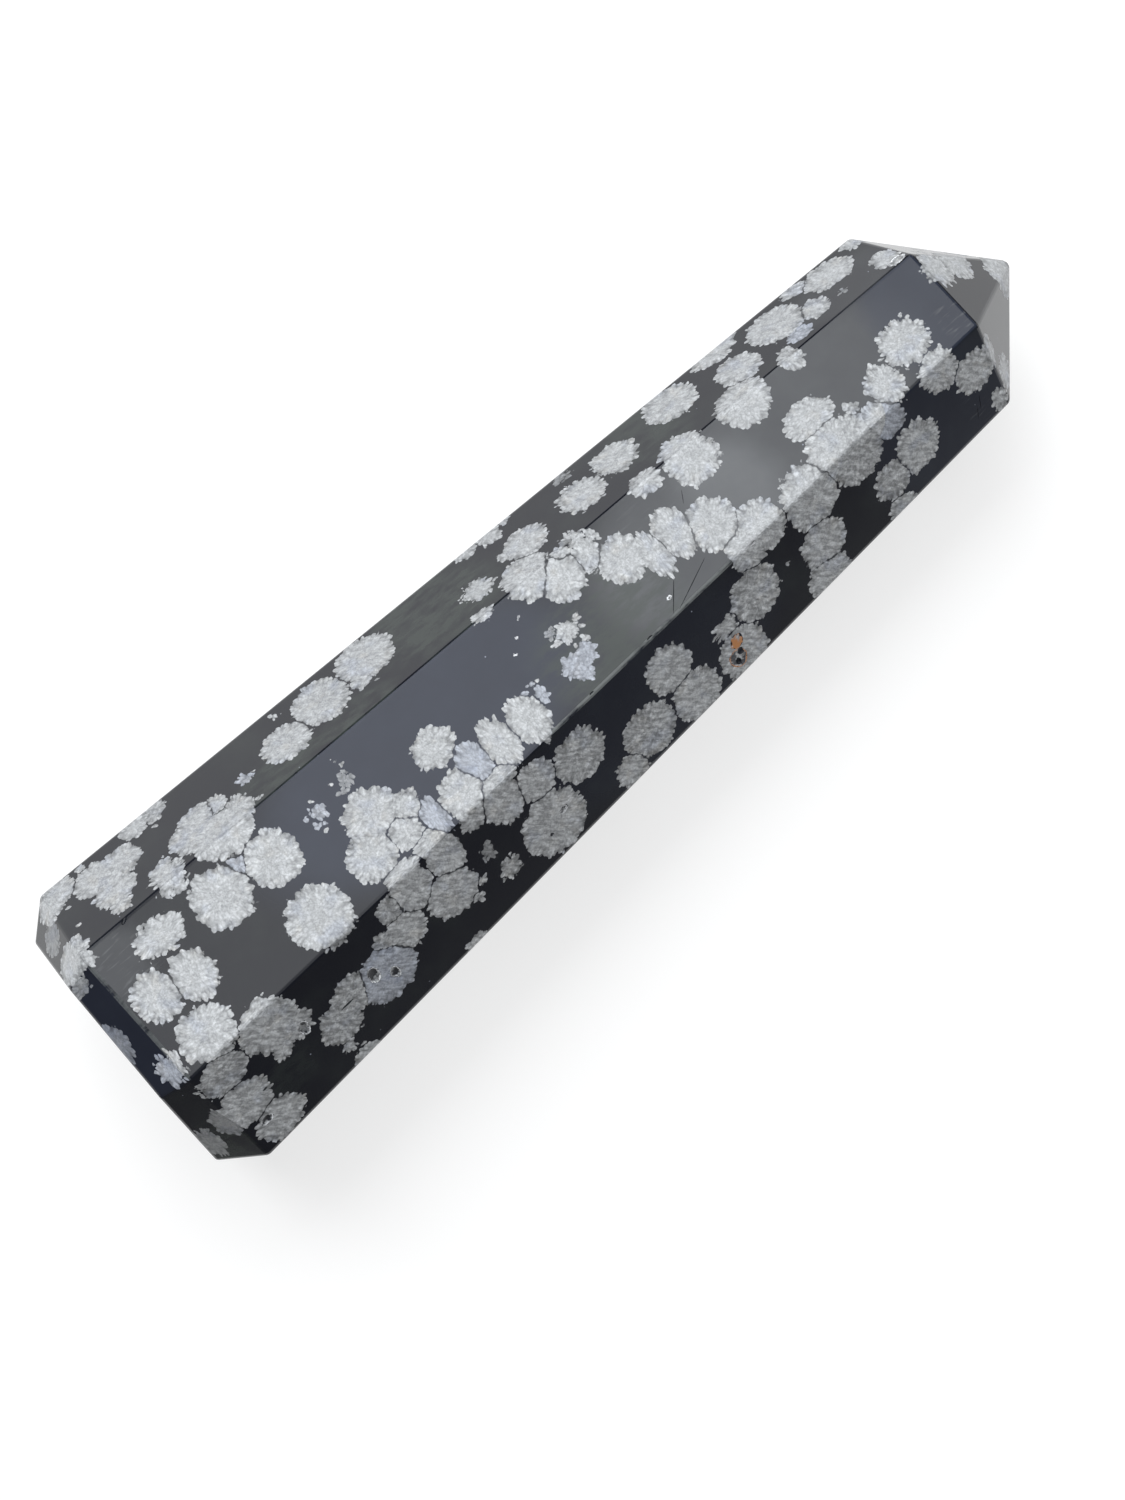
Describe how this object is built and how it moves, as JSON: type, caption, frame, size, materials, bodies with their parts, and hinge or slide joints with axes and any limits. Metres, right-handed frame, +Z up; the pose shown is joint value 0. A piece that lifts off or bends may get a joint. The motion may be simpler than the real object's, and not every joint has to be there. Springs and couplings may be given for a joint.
{
  "type": "snowflake obsidian obelisk",
  "caption": "Hand-cut eight-sided obelisk of black volcanic glass with grey-white snowflake inclusions, a faceted point and a bevelled foot, lying on a long flat.",
  "frame": {"origin": "centre of the bounding box's bottom, on the surface the stone lies on", "axes": "+X from the foot to the point, +Z up, out of the top long flat"},
  "size_m": [0.1002, 0.0272, 0.0263],
  "materials": {
    "snowflake_obsidian": "polished"
  },
  "bodies": {
    "root": {"obelisk": "snowflake_obsidian"}
  },
  "joints": []
}
